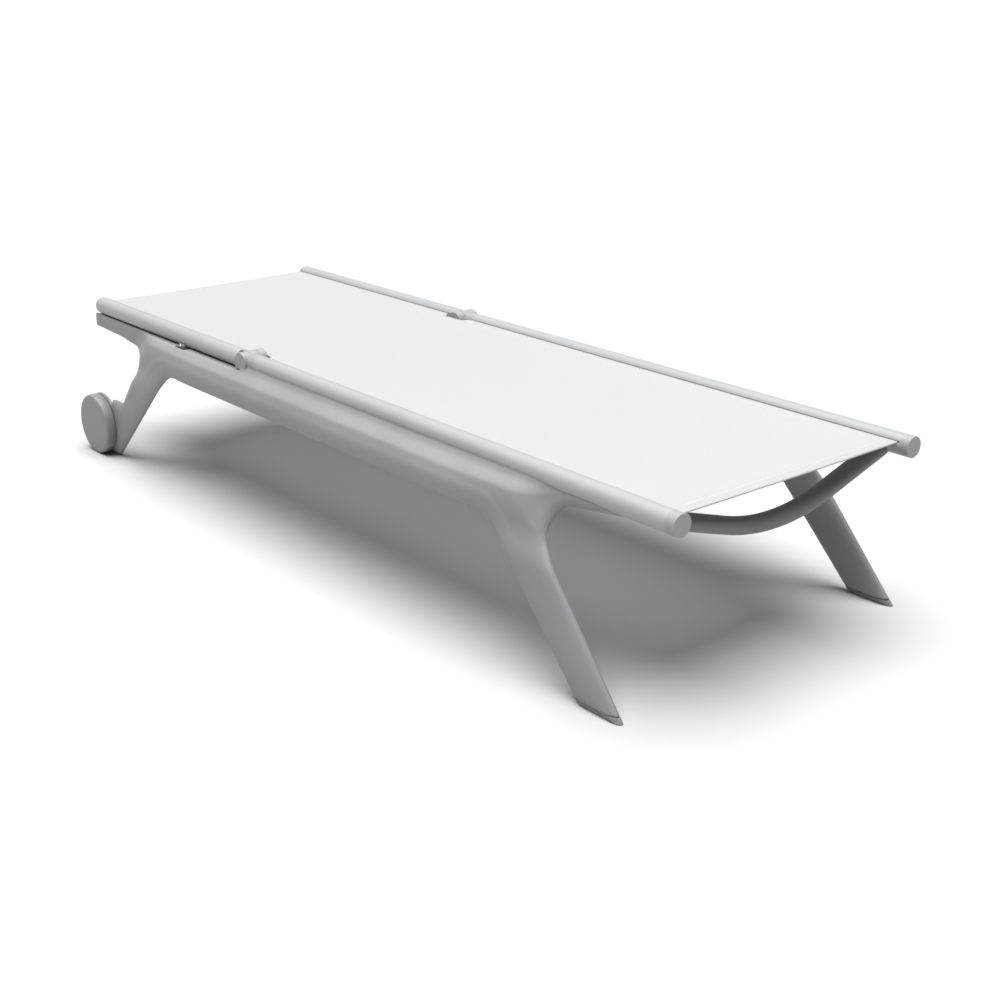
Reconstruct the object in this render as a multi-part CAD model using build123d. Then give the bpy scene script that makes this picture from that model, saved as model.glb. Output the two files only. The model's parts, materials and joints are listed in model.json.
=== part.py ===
"""Reclining sun lounger: two moulded side frames, tube rails, a mesh sling, a hinged
backrest held by a prop stay on notched racks, and two transport wheels.

Frame: millimetres, X from the head end to the foot end, Y across, Z up, with the
origin on the floor under the middle of the lounger. The +Y half is modelled and
mirrored for the -Y half.
"""
from build123d import *
from math import atan2, copysign, cos, degrees, hypot, radians, sin, tan
import os

# ---- overall sizes ---------------------------------------------------------------
LENGTH = 1960.0            # foot cap face to the domed head end
RAIL_SPACING = 588.0       # between the two rail centre lines
RAIL_Z = 343.0             # rail centre line above the floor
BACK_LENGTH = 702.0        # head end to the recline axis

# ---- rails and caps --------------------------------------------------------------
RAIL_D = 40.0
RAIL_WALL = 2.5
SPIGOT_CLEAR = 0.08        # spigot to tube wall, a push fit
SPIGOT_LENGTH = 36.0
CAP_LENGTH = 20.0
CAP_EDGE = 1.2
HEAD_CAP_LENGTH = 20.0

# ---- sling and its edge cord -----------------------------------------------------
SLING_T = 2.0
SLING_RISE = 8.5           # sling mid plane above the rail centre line
SLING_HEAD_INSET = 21.0    # head end to the sling's head hem
SLING_FOOT_INSET = 24.0    # sling's foot hem to the cap face
SLING_HINGE_GAP = 9.0      # each side of the recline axis
SLOT_W = 3.6
CORD_D = 7.0               # keder rod
CORD_POCKET_D = 8.4
CORD_INSET = 11.5          # rail centre line to the keder rod, inwards
CORD_WALL = 2.2

# ---- recline hinge ---------------------------------------------------------------
KNUCKLE_R = 21.5
KNUCKLE_T = 18.0           # outer and inner knuckles, along the pin
MIDDLE_T = 19.0
KNUCKLE_GAP = 0.6
NECK_ROOM = 3.2            # collar clear of the back half's neck as it turns
KNUCKLE_OUT = 22.0         # outer knuckle face beyond the rail centre line
HINGE_BACK_X = 24.0        # axis to the back rail's end
HINGE_SEAT_X = 45.0        # axis to the seat rail's end
PIN_D = 9.0
PIN_CLEAR = 0.05
PIN_BLIND = 4.0            # solid wall left at the outer cheek
PIN_HEADROOM = 2.0         # pin's end inside the inner cheek, for the plug
PLUG_HEAD_T = 1.4
PLUG_LIP = 2.0             # plug's head beyond the pin, all round
RECLINE_MAX = 65.0

# ---- moulded side frame ----------------------------------------------------------
NOTCH_AT = 262.0           # head end to the inside corner between horn and rear leg
KNEE_AT = 272.0            # foot end to the inside corner between arm and front leg
ARM_END_AT = 120.0         # foot end to where the arm runs out under the rail
BLADE_OUT = 53.0           # beam and leg mid plane outside the rail centre line
BLADE_T = 22.0
BEAM_BOTTOM = 258.0
BEAM_TOP = 300.0
BEAM_BULGE = 66.5          # beam's outermost face outside the rail centre line
SADDLE_IN = 8.0            # saddle's inner face inside the rail centre line
REAR_FOOT_GAP = 3.0        # rear leg tip above the floor, as the wheels stand on it
SADDLE_CLEAR = 0.1         # seat rail in its saddle
BACK_CLEAR = 2.0           # back rail above the frame when flat
BACK_LIP = 325.0           # frame's top edge beside the back rail
LEG_SPLAY = 2.0            # degrees, front legs outwards
GLIDE_H = 10.0
GLIDE_PEG_D = 16.0
GLIDE_PEG_L = 18.0
GLIDE_AT = 114.0           # foot end to the glide's peg
REST_PAD_AT = 95.0         # head end to the rest pad
REST_PAD_L = 25.0

# ---- crossbars -------------------------------------------------------------------
BAR_W = 38.0               # along X
BAR_H = 31.0               # along Z
BAR_DIP = 79.0             # bar's middle below the rail centre line
BAR_ARC_R = 420.0
BAR_FLAT_ANGLE = 17.3      # degrees, slope of the straight ends
BAR_RAIL_GAP = 13.0        # bar's cut end inside the rail centre line
BEAM_BAR_DIP = 94.0        # middle of the bars between the beams, below the rail centre line
BEAM_BAR_ARC_R = 1400.0
BEAM_BAR_ANGLE = 8.0       # degrees
BAR_CLEAR = 0.1            # beam bar in its sockets
FRONT_BAR_AT = 62.0        # foot end to the front bar
HEAD_BAR_AT = 60.0         # head end to the head bar
REAR_BAR_AT = 345.0        # head end to the rear bar
MID_BAR_AT = 240.0         # recline axis to the middle bar
LUMBAR_BAR_AT = 110.0      # recline axis to the lumbar bar

# ---- screws ----------------------------------------------------------------------
SCREW_D = 5.0
SCREW_HEAD_D = 9.5
SCREW_HEAD_T = 3.0
SCREW_ROOM = 1.0           # wider hole around a sunk head
BAR_SCREW_IN = 16.5        # screw inside the rail centre line
BAR_SCREW_DROP = 24.0      # head's seat below the rail centre line
BAR_SCREW_L = 21.0
BEAM_SCREW_SINK = 4.0
BEAM_SCREW_L = 18.0
RAIL_SCREW_DROP = 10.0     # head's seat below the rail's underside
RAIL_SCREW_L = 19.0
RAIL_SCREWS = 4
RAIL_SCREW_FIRST_AT = 90.0  # seat rail's head end to the first screw
RAIL_SCREW_LAST_AT = 330.0  # foot end to the last screw
RACK_SCREW_L = 20.0
SCREW_SINK = 4.0           # rack's face to the screw head's seat

# ---- wheels ----------------------------------------------------------------------
WHEEL_R = 72.5
WHEEL_W = 24.5
WHEEL_X = 88.0             # head end to the axle
WHEEL_GAP = 1.0
WHEEL_WALL = 3.2
WHEEL_RIM = 4.5
WHEEL_EDGE = 3.0
EAR_R = 76.5               # round end of the rear leg behind the wheel
AXLE_D = 12.0
AXLE_CLEAR = 0.06
AXLE_HEAD_D = 22.0
AXLE_HEAD_T = 4.0
HUB_D = 26.0
PLATE_T = 3.0
CLIP_T = 1.6

# ---- prop stay and racks ---------------------------------------------------------
PROP_X = 262.0             # recline axis to the stay's pivot
PROP_DROP = 17.0           # pivot below the rail centre line
ARM_IN = 35.0              # stay arm's mid plane inside the rail centre line
ARM_T = 6.0
ARM_H = 15.0
ROD_D = 10.0
ROD_END_IN = 17.5          # rod end inside the rail centre line
BOLT_D = 8.0
BOLT_CLEAR = 0.06
BOLT_HEAD_D = 13.0
BOLT_HEAD_T = 4.0
LUG_L = 26.0
LUG_BELOW = 10.0           # lug's underside below the pivot
LUG_ABOVE = 6.0
LUG_OUT = 22.0             # lug's outer cheek outside the rail centre line
LUG_ARM_GAP = 1.5          # lug's inner face to the stay's arm
LUG_ROOM = 3.0             # frame and rack around the lug
RIVET_D = 5.0
RIVET_HEAD_D = 11.0
RIVET_HEAD_T = 3.5
RACK_T = 13.0
RACK_CLEAR = 1.0           # rod above the tooth tips
RACK_DEPTH = 16.0
RACK_END = 18.0            # rack beyond its first and last notch
NOTCH_ANGLES = (20.0, 35.0, 50.0, RECLINE_MAX)
RACK_SCREW_SHARES = (0.1, 0.45, 0.8)

# ---- worked out ------------------------------------------------------------------
HEAD_X = -LENGTH / 2
FOOT_X = LENGTH / 2
RAIL_Y = RAIL_SPACING / 2
RAIL_R = RAIL_D / 2
HINGE_X = HEAD_X + BACK_LENGTH
BACK_RAIL_FOOT = HINGE_X - HINGE_BACK_X
SEAT_RAIL_HEAD = HINGE_X + HINGE_SEAT_X
BLADE_Y = RAIL_Y + BLADE_OUT
BLADE_OUTER = BLADE_Y + BLADE_T / 2
BLADE_INNER = BLADE_Y - BLADE_T / 2
SADDLE_INNER = RAIL_Y - SADDLE_IN
SLING_Z = RAIL_Z + SLING_RISE
CORD_Y = RAIL_Y - CORD_INSET
ARM_Y = RAIL_Y - ARM_IN
PIVOT_X = HINGE_X - PROP_X
PIVOT_Z = RAIL_Z - PROP_DROP
STAY_LENGTH = hypot(PROP_X, PROP_DROP)
STAY_SLOPE = degrees(atan2(PROP_DROP, PROP_X))
WHEEL_CX = HEAD_X + WHEEL_X
WHEEL_IN = BLADE_OUTER + WHEEL_GAP
WHEEL_OUT = WHEEL_IN + WHEEL_W
AXLE_BORE = AXLE_D + 2 * AXLE_CLEAR
CLIP_ROOM = CLIP_T + 1.4

NOTCH_X = HEAD_X + NOTCH_AT
KNEE_X = FOOT_X - KNEE_AT
ARM_END_X = FOOT_X - ARM_END_AT
GLIDE_X = FOOT_X - GLIDE_AT
GLIDE_Y = BLADE_Y + (BEAM_BOTTOM - GLIDE_H) * tan(radians(LEG_SPLAY)) + 0.5

# hinge knuckles from the outer cheek inwards
OUTER_Y1 = RAIL_Y + KNUCKLE_OUT
OUTER_Y0 = OUTER_Y1 - KNUCKLE_T
MIDDLE_Y1 = OUTER_Y0 - KNUCKLE_GAP
MIDDLE_Y0 = MIDDLE_Y1 - MIDDLE_T
INNER_Y1 = MIDDLE_Y0 - KNUCKLE_GAP
INNER_Y0 = INNER_Y1 - KNUCKLE_T

# sling: its edge inside the keder's pocket, and the notch beside the knuckles
SLING_EDGE = CORD_Y - CORD_D / 2 + 0.6
BESIDE_RAIL = RAIL_Y - RAIL_R - 0.6
BESIDE_HINGE = INNER_Y0 - 3.0
HINGE_NOTCH = KNUCKLE_R + 1.5
SEAT_SLING_FOOT = FOOT_X - SLING_FOOT_INSET
BACK_SLING_HEAD = HEAD_X + SLING_HEAD_INSET

LUG_INNER = ARM_Y + ARM_T / 2 + LUG_ARM_GAP
LUG_OUTER = RAIL_Y + LUG_OUT
BOLT_TIP = RAIL_Y - RAIL_R + 1.0
RACK_INNER = SADDLE_INNER - RACK_T

FRONT_BAR_X = FOOT_X - FRONT_BAR_AT
MID_BAR_X = HINGE_X + MID_BAR_AT
REAR_BAR_X = HEAD_X + REAR_BAR_AT
HEAD_BAR_X = HEAD_X + HEAD_BAR_AT
LUMBAR_BAR_X = HINGE_X - LUMBAR_BAR_AT

BAR_SCREW_Y = RAIL_Y - BAR_SCREW_IN
BAR_SCREW_Z = RAIL_Z - BAR_SCREW_DROP
BAR_SCREW_TIP = BAR_SCREW_Z + BAR_SCREW_L
BEAM_SCREW_Y = BLADE_Y - 6.0
BEAM_SCREW_Z = BEAM_BOTTOM + BEAM_SCREW_SINK
BEAM_SCREW_TIP = BEAM_SCREW_Z + BEAM_SCREW_L
RAIL_SCREW_Z = RAIL_Z - RAIL_R - RAIL_SCREW_DROP
RAIL_SCREW_TIP = RAIL_SCREW_Z + RAIL_SCREW_L
RAIL_SCREW_FIRST = SEAT_RAIL_HEAD + RAIL_SCREW_FIRST_AT
RAIL_SCREW_STEP = (FOOT_X - RAIL_SCREW_LAST_AT - RAIL_SCREW_FIRST) / (RAIL_SCREWS - 1)
RAIL_SCREW_X = [RAIL_SCREW_FIRST + i * RAIL_SCREW_STEP for i in range(RAIL_SCREWS)]

os.makedirs("parts", exist_ok=True)


# ---- helpers ---------------------------------------------------------------------
def outline(points, radii):
    """Closed face from corner points, each corner rounded to its own radius."""
    return make_face(FilletPolyline(*points, radius=radii, close=True))


def across(face, y0, y1):
    """Face drawn in X and Z, made into a plate from y0 to y1."""
    return extrude(Plane.XZ.offset(-y1) * face, amount=y1 - y0)


def along(face, x0, x1):
    """Face drawn in Y and Z, made into a bar from x0 to x1."""
    return extrude(Plane.YZ.offset(x0) * face, amount=x1 - x0)


def block(x0, x1, y0, y1, z0, z1):
    """Rectangular block between two corners."""
    middle = ((x0 + x1) / 2, (y0 + y1) / 2, (z0 + z1) / 2)
    return Pos(*middle) * Box(x1 - x0, y1 - y0, z1 - z0)


def rod_x(x0, x1, y, z, diameter):
    """Round bar along X."""
    return Pos((x0 + x1) / 2, y, z) * Rot(0, 90, 0) * Cylinder(diameter / 2, x1 - x0)


def rod_y(y0, y1, x, z, diameter):
    """Round bar along Y."""
    return Pos(x, (y0 + y1) / 2, z) * Rot(90, 0, 0) * Cylinder(diameter / 2, y1 - y0)


def rod_z(z0, z1, x, y, diameter):
    """Round bar along Z."""
    return Pos(x, y, (z0 + z1) / 2) * Cylinder(diameter / 2, z1 - z0)


def other_side(solid):
    """The same piece on the -Y side."""
    return mirror(solid, about=Plane.XZ)


def save(name, *solids):
    """Write one node; several solids make a group of identical pieces."""
    pieces = []
    for item in solids:
        pieces.extend(item.solids())
    shape = pieces[0] if len(pieces) == 1 else Compound(children=pieces)
    shape.label = name
    export_step(shape, f"parts/{name}.step")


def save_pair(name, solid):
    """Write the +Y piece as left and its mirror image as right."""
    save(f"{name}_left", solid)
    save(f"{name}_right", other_side(solid))


# ---- rails -----------------------------------------------------------------------
def rail_cavity(clear):
    """Hollow of the rail in Y and Z: a round bore, less the keder's housing."""
    bore = Pos(RAIL_Y, RAIL_Z) * Circle(RAIL_R - RAIL_WALL - clear)
    housing_r = CORD_POCKET_D / 2 + CORD_WALL + clear
    return bore - Pos(CORD_Y, SLING_Z) * Circle(housing_r)


def rail_section():
    """Rail extrusion: tube with a keder pocket that opens through a slot."""
    tube = Pos(RAIL_Y, RAIL_Z) * Circle(RAIL_R) - rail_cavity(0)
    pocket = Pos(CORD_Y, SLING_Z) * Circle(CORD_POCKET_D / 2)
    slot_mid = CORD_Y - RAIL_R / 2
    slot = Pos(slot_mid, SLING_Z) * Rectangle(RAIL_R, SLOT_W)
    return tube - pocket - slot


def spigot(x0, x1):
    """Plug that fills the rail's hollow."""
    return along(rail_cavity(SPIGOT_CLEAR), x0, x1)


def foot_cap():
    """Disc cap on the seat rail's foot end, with its plug."""
    cap = rod_x(FOOT_X - CAP_LENGTH, FOOT_X, RAIL_Y, RAIL_Z, RAIL_D)
    cap = fillet(cap.faces().sort_by(Axis.X)[-1].edges(), CAP_EDGE)
    x0 = FOOT_X - CAP_LENGTH
    return cap + spigot(x0 - SPIGOT_LENGTH, x0)


def head_cap():
    """Domed cap on the back rail's head end, with its plug."""
    x1 = HEAD_X + HEAD_CAP_LENGTH
    profile = Pos(x1, 0) * Ellipse(HEAD_CAP_LENGTH, RAIL_R)
    quarter = profile & Pos(x1 - HEAD_CAP_LENGTH / 2, RAIL_R / 2) * Rectangle(
        HEAD_CAP_LENGTH, RAIL_R
    )
    dome = revolve(quarter, axis=Axis.X)
    return Pos(0, RAIL_Y, RAIL_Z) * dome + spigot(x1, x1 + SPIGOT_LENGTH)


# ---- hinge -----------------------------------------------------------------------
def knuckle(y0, y1):
    """One barrel of the hinge about the recline axis."""
    return rod_y(y0, y1, HINGE_X, RAIL_Z, 2 * KNUCKLE_R)


def pin_hole(y0):
    """Bore for the hinge pin, open inwards from y0 and blind at the outer cheek."""
    return rod_y(y0, OUTER_Y1 - PIN_BLIND, HINGE_X, RAIL_Z, PIN_D + 2 * PIN_CLEAR)


def hinge_seat():
    """Fixed hinge half: two knuckles on a collar that plugs into the seat rail."""
    collar = rod_x(HINGE_X, SEAT_RAIL_HEAD, RAIL_Y, RAIL_Z, RAIL_D)
    flare = block(HINGE_X, HINGE_X + KNUCKLE_R, INNER_Y0, OUTER_Y1, RAIL_Z - RAIL_R, RAIL_Z)
    inner_cut = rod_x(HINGE_X - 1, SEAT_RAIL_HEAD, RAIL_Y, RAIL_Z, RAIL_D)
    body = collar + knuckle(OUTER_Y0, OUTER_Y1) + knuckle(INNER_Y0, INNER_Y1)
    body += flare & inner_cut
    room = rod_y(INNER_Y1, OUTER_Y0, HINGE_X, RAIL_Z, 2 * (KNUCKLE_R + NECK_ROOM))
    body += spigot(SEAT_RAIL_HEAD, SEAT_RAIL_HEAD + SPIGOT_LENGTH)
    return body - room - pin_hole(INNER_Y0 - 1)


def hinge_back():
    """Moving hinge half: the middle knuckle on a collar that plugs into the back rail."""
    neck = rod_x(BACK_RAIL_FOOT - 6, HINGE_X, RAIL_Y, RAIL_Z, RAIL_D)
    slab = block(BACK_RAIL_FOOT, HINGE_X, MIDDLE_Y0, MIDDLE_Y1, RAIL_Z - 30, RAIL_Z + 30)
    body = (neck & slab) + knuckle(MIDDLE_Y0, MIDDLE_Y1)
    body += spigot(BACK_RAIL_FOOT - SPIGOT_LENGTH, BACK_RAIL_FOOT)
    return body - pin_hole(MIDDLE_Y0 - 1)


def hinge_pin():
    """Plain steel pin, pushed in from the inner end."""
    return rod_y(INNER_Y0 + PIN_HEADROOM, OUTER_Y1 - PIN_BLIND - 0.2, HINGE_X, RAIL_Z, PIN_D)


def pin_cap():
    """Plastic plug that closes the pin's hole at the inner knuckle."""
    plug = rod_y(INNER_Y0, INNER_Y0 + PIN_HEADROOM - 0.1, HINGE_X, RAIL_Z, PIN_D)
    head = rod_y(INNER_Y0 - PLUG_HEAD_T, INNER_Y0, HINGE_X, RAIL_Z, PIN_D + 2 * PLUG_LIP)
    return plug + head


# ---- side frame ------------------------------------------------------------------
def side_outline():
    """Side view of horn, web, beam and arm."""
    points = [
        (HEAD_X + 2, BACK_LIP),
        (HEAD_X + 2, 291),
        (HEAD_X + 130, 286),
        (HEAD_X + 225, 276),
        (NOTCH_X + 12, 258),
        (KNEE_X - 2, BEAM_BOTTOM),
        (KNEE_X + 10, 290),
        (KNEE_X + 60, 312),
        (ARM_END_X, 323),
        (ARM_END_X, RAIL_Z + 2),
        (HINGE_X, RAIL_Z + 2),
        (HINGE_X, BACK_LIP),
    ]
    radii = [6, 8, 60, 60, 8, 12, 20, 60, 2, 0.5, 2, 2]
    return outline(points, radii)


def web_section():
    """Cross-section in Y and Z: saddle under the rail, sloping web, rounded beam."""
    points = [
        (SADDLE_INNER, RAIL_Z - 12),
        (SADDLE_INNER, 306),
        (BLADE_INNER - 16, 286),
        (BLADE_INNER, 274),
        (BLADE_INNER, BEAM_BOTTOM),
        (BLADE_OUTER - 3, BEAM_BOTTOM),
        (RAIL_Y + BEAM_BULGE, 276),
        (RAIL_Y + BEAM_BULGE, 298),
        (RAIL_Y + 36, 312),
        (RAIL_Y + RAIL_R + 3, 326),
        (RAIL_Y + RAIL_R + 1.5, RAIL_Z),
        (RAIL_Y, RAIL_Z),
    ]
    radii = [1, 6, 10, 6, 3, 9, 9, 11, 8, 14, 0.5, 0.5]
    return outline(points, radii)


def plan_outline():
    """Top view: narrow horn and arm, flaring out to the beam between the legs."""
    narrow = RAIL_Y + RAIL_R + 0.6
    wide = RAIL_Y + BEAM_BULGE + 5
    points = [
        (HEAD_X - 5, RAIL_Y - 40),
        (FOOT_X, RAIL_Y - 40),
        (FOOT_X, narrow),
        (KNEE_X + 45, narrow),
        (KNEE_X - 70, wide),
        (NOTCH_X + 75, wide),
        (NOTCH_X - 75, narrow),
        (HEAD_X - 5, narrow),
    ]
    radii = [1, 1, 1, 120, 90, 90, 120, 1]
    return outline(points, radii)


def rear_leg_outline():
    """Rear leg and beam in side view, without the round end behind the wheel."""
    points = [
        (HEAD_X + 112, REAR_FOOT_GAP),
        (HEAD_X + 152, REAR_FOOT_GAP),
        (HEAD_X + 420, BEAM_BOTTOM),
        (KNEE_X - 60, BEAM_BOTTOM),
        (KNEE_X - 60, BEAM_TOP),
        (NOTCH_X + 45, BEAM_TOP),
        (NOTCH_X + 14, 252),
        (HEAD_X + 192, 141),
        (HEAD_X + 140, 141),
    ]
    radii = [2, 4, 60, 1, 1, 40, 30, 24, 4]
    return outline(points, radii)


def front_leg_outline(bottom):
    """Front leg in side view, from the given height up into the beam."""
    toe = FOOT_X - 52.0
    heel = FOOT_X - 155.0
    toe_lean = 0.865
    heel_lean = 0.953
    knee_back = heel - heel_lean * BEAM_BOTTOM
    points = [
        (heel - heel_lean * bottom, bottom),
        (toe - toe_lean * bottom, bottom),
        (toe - toe_lean * 215, 215),
        (KNEE_X, 262),
        (KNEE_X + 8, 284),
        (KNEE_X - 60, BEAM_TOP),
        (knee_back - 90, BEAM_TOP),
        (knee_back - 90, BEAM_BOTTOM),
        (knee_back, BEAM_BOTTOM),
    ]
    radii = [4, 3, 40, 14, 8, 60, 1, 1, 75]
    return outline(points, radii)


def splayed(plate):
    """Lean a leg plate outwards about the level of the beam's underside."""
    hinge_line = Axis((0, BLADE_Y, BEAM_BOTTOM), (1, 0, 0))
    return plate.rotate(hinge_line, LEG_SPLAY)


def front_leg(bottom, top_cut):
    """Front leg between two heights, splayed, with its foot cut level."""
    plate = across(front_leg_outline(-6), BLADE_INNER - 1, BLADE_OUTER + 2)
    leg = splayed(plate)
    slab = block(HEAD_X, FOOT_X, BLADE_Y - 80, BLADE_Y + 80, bottom, top_cut)
    return leg & slab


def side_frame():
    """The whole moulded side frame of the +Y side."""
    web = along(web_section(), HEAD_X, FOOT_X) & across(side_outline(), RAIL_Y - 60, RAIL_Y + 90)
    web &= extrude(Plane.XY.offset(BEAM_BOTTOM - 10) * plan_outline(), amount=110)
    rear = across(rear_leg_outline(), BLADE_INNER, BLADE_OUTER)
    ear = rod_y(BLADE_INNER, BLADE_OUTER, WHEEL_CX, WHEEL_R, 2 * EAR_R)
    ear &= block(HEAD_X - 50, HEAD_X + 400, BLADE_INNER - 5, BLADE_OUTER + 5, REAR_FOOT_GAP, 400)
    frame = web + rear + ear + front_leg(GLIDE_H, 400)
    # the seat rail's saddle, and the room that the back rail and hinge turn in
    frame -= rod_x(HINGE_X, FOOT_X + 5, RAIL_Y, RAIL_Z, RAIL_D + 2 * SADDLE_CLEAR)
    frame -= rod_x(HEAD_X - 5, HINGE_X, RAIL_Y, RAIL_Z, RAIL_D + 2 * BACK_CLEAR)
    frame -= rod_y(RAIL_Y - 60, RAIL_Y + 60, HINGE_X, RAIL_Z, 2 * (KNUCKLE_R + 1.0))
    frame -= lug_room()
    frame -= rod_y(BLADE_INNER - 5, BLADE_OUTER + 5, WHEEL_CX, WHEEL_R, AXLE_D + 2 * AXLE_CLEAR)
    frame -= glide_peg(0.1)
    for x in RAIL_SCREW_X:
        frame -= rod_z(RAIL_Z - 60, RAIL_Z - RAIL_R + 1, x, RAIL_Y, SCREW_D + 0.2)
        frame -= rod_z(200, RAIL_SCREW_Z, x, RAIL_Y, SCREW_HEAD_D + SCREW_ROOM)
    return frame


# ---- screws ----------------------------------------------------------------------
def screw_up(x, y, z_head, z_tip):
    """Screw pointing up, its head's top face at z_head."""
    shank = rod_z(z_head, z_tip, x, y, SCREW_D)
    return shank + rod_z(z_head - SCREW_HEAD_T, z_head, x, y, SCREW_HEAD_D)


def screw_out(x, z, y_head, y_tip):
    """Screw pointing outwards along Y, its head's face at y_head."""
    shank = rod_y(y_head, y_tip, x, z, SCREW_D)
    return shank + rod_y(y_head - SCREW_HEAD_T, y_head, x, z, SCREW_HEAD_D)


# ---- crossbars -------------------------------------------------------------------
def crossbar(x, dip_z, end_y, arc_r, angle, clear=0.0):
    """Bar across the lounger, dipped in an arc at the middle so the sling can sag."""
    tilt = radians(angle)
    half_arc_y = arc_r * sin(tilt)
    arc_z = dip_z + arc_r * (1 - cos(tilt))
    end_z = arc_z + (end_y - half_arc_y) * tan(tilt)
    path = Wire(
        [
            Line((x, -end_y, end_z), (x, -half_arc_y, arc_z)).edge(),
            ThreePointArc((x, -half_arc_y, arc_z), (x, 0, dip_z), (x, half_arc_y, arc_z)).edge(),
            Line((x, half_arc_y, arc_z), (x, end_y, end_z)).edge(),
        ]
    )
    plane = Plane(origin=(x, -end_y, end_z), x_dir=(1, 0, 0), z_dir=(0, cos(tilt), -sin(tilt)))
    return sweep(plane * Ellipse(BAR_W / 2 + clear, BAR_H / 2 + clear), path=path)


def rail_crossbar(x):
    """Crossbar whose ends are coped against the rails."""
    bar = crossbar(x, RAIL_Z - BAR_DIP, RAIL_Y, BAR_ARC_R, BAR_FLAT_ANGLE)
    bar &= block(x - 60, x + 60, -RAIL_Y + BAR_RAIL_GAP, RAIL_Y - BAR_RAIL_GAP, 0, 500)
    for y in (-RAIL_Y, RAIL_Y):
        bar -= rod_x(x - 60, x + 60, y, RAIL_Z, RAIL_D + 2 * SADDLE_CLEAR)
        screw_y = copysign(BAR_SCREW_Y, y)
        bar -= rod_z(BAR_SCREW_Z - 20, RAIL_Z + 40, x, screw_y, SCREW_D)
        bar -= rod_z(0, BAR_SCREW_Z, x, screw_y, SCREW_HEAD_D + SCREW_ROOM)
    return bar


def beam_crossbar(x, clear=0.0):
    """Crossbar whose ends sit in blind sockets in the two beams."""
    dip_z = RAIL_Z - BEAM_BAR_DIP
    bar = crossbar(x, dip_z, BLADE_Y + 20, BEAM_BAR_ARC_R, BEAM_BAR_ANGLE, clear)
    end = BLADE_Y + clear
    bar &= block(x - 60, x + 60, -end, end, 0, 500)
    if clear:
        return bar
    for y in (-BEAM_SCREW_Y, BEAM_SCREW_Y):
        bar -= rod_z(0, BEAM_SCREW_TIP, x, y, SCREW_D)
    return bar


# ---- wheels ----------------------------------------------------------------------
def wheel():
    """Moulded wheel: closed outer face, tread and hub, open towards the leg."""
    body = rod_y(WHEEL_IN, WHEEL_OUT, WHEEL_CX, WHEEL_R, 2 * WHEEL_R)
    body = fillet(body.edges().filter_by(GeomType.CIRCLE), WHEEL_EDGE)
    inner_d = 2 * (WHEEL_R - WHEEL_RIM)
    body -= rod_y(WHEEL_IN - 1, WHEEL_OUT - WHEEL_WALL, WHEEL_CX, WHEEL_R, inner_d)
    hub_y = WHEEL_IN + PLATE_T + CLIP_ROOM
    body += rod_y(hub_y, WHEEL_OUT - WHEEL_WALL, WHEEL_CX, WHEEL_R, HUB_D)
    return body - rod_y(hub_y - 1, WHEEL_OUT - WHEEL_WALL, WHEEL_CX, WHEEL_R, AXLE_BORE)


def wheel_plate():
    """Disc pressed into the wheel's inner side; the axle runs in its bore."""
    disc_d = 2 * (WHEEL_R - WHEEL_RIM)
    disc = rod_y(WHEEL_IN, WHEEL_IN + PLATE_T, WHEEL_CX, WHEEL_R, disc_d)
    return disc - rod_y(WHEEL_IN - 1, WHEEL_IN + PLATE_T + 1, WHEEL_CX, WHEEL_R, AXLE_BORE)


def axle():
    """Headed stub axle, put through the leg from its inner side."""
    shaft = rod_y(BLADE_INNER, WHEEL_OUT - WHEEL_WALL - 1, WHEEL_CX, WHEEL_R, AXLE_D)
    return shaft + rod_y(BLADE_INNER - AXLE_HEAD_T, BLADE_INNER, WHEEL_CX, WHEEL_R, AXLE_HEAD_D)


def axle_clip():
    """Push-on ring inside the wheel that keeps the wheel on its axle."""
    y0 = WHEEL_IN + PLATE_T + 0.6
    ring = rod_y(y0, y0 + CLIP_T, WHEEL_CX, WHEEL_R, AXLE_D + 7)
    return ring - rod_y(y0 - 1, y0 + CLIP_T + 1, WHEEL_CX, WHEEL_R, AXLE_D)


# ---- front glides ----------------------------------------------------------------
def glide_peg(clear):
    """Peg of the glide, up inside the leg."""
    top = GLIDE_H + GLIDE_PEG_L + clear
    return rod_z(GLIDE_H - 1, top, GLIDE_X, GLIDE_Y, GLIDE_PEG_D + 2 * clear)


def glide():
    """Rubber sole under the front leg, in line with the leg's sides."""
    return front_leg(0, GLIDE_H) + glide_peg(0)


# ---- sling and keder -------------------------------------------------------------
def sling(x_end, x_hinge, side):
    """One sling panel: full width, narrower beside the hinge knuckles."""
    z0 = SLING_Z - SLING_T / 2
    z1 = SLING_Z + SLING_T / 2
    x_notch = HINGE_X + side * HINGE_NOTCH
    x_rail = SEAT_RAIL_HEAD + 2 if side > 0 else BACK_RAIL_FOOT - 2
    wide = block(min(x_end, x_rail), max(x_end, x_rail), -SLING_EDGE, SLING_EDGE, z0, z1)
    step = block(min(x_rail, x_notch), max(x_rail, x_notch), -BESIDE_RAIL, BESIDE_RAIL, z0, z1)
    narrow = block(min(x_notch, x_hinge), max(x_notch, x_hinge), -BESIDE_HINGE, BESIDE_HINGE, z0, z1)
    panel = wide + step + narrow
    for y in (-CORD_Y, CORD_Y):
        panel -= rod_x(HEAD_X, FOOT_X, y, SLING_Z, CORD_D)
    return panel


def keder(x0, x1):
    """Round edge cord of the sling, slid into the rail's pocket."""
    return rod_x(x0, x1, CORD_Y, SLING_Z, CORD_D)


# ---- prop stay, lugs and racks ---------------------------------------------------
def stay_foot(angle):
    """Place of the stay's foot rod for a backrest angle; it runs on a line through the hinge."""
    reach = 2 * STAY_LENGTH * cos(radians(angle))
    slope = radians(STAY_SLOPE)
    return HINGE_X - reach * cos(slope), RAIL_Z - reach * sin(slope)


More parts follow.
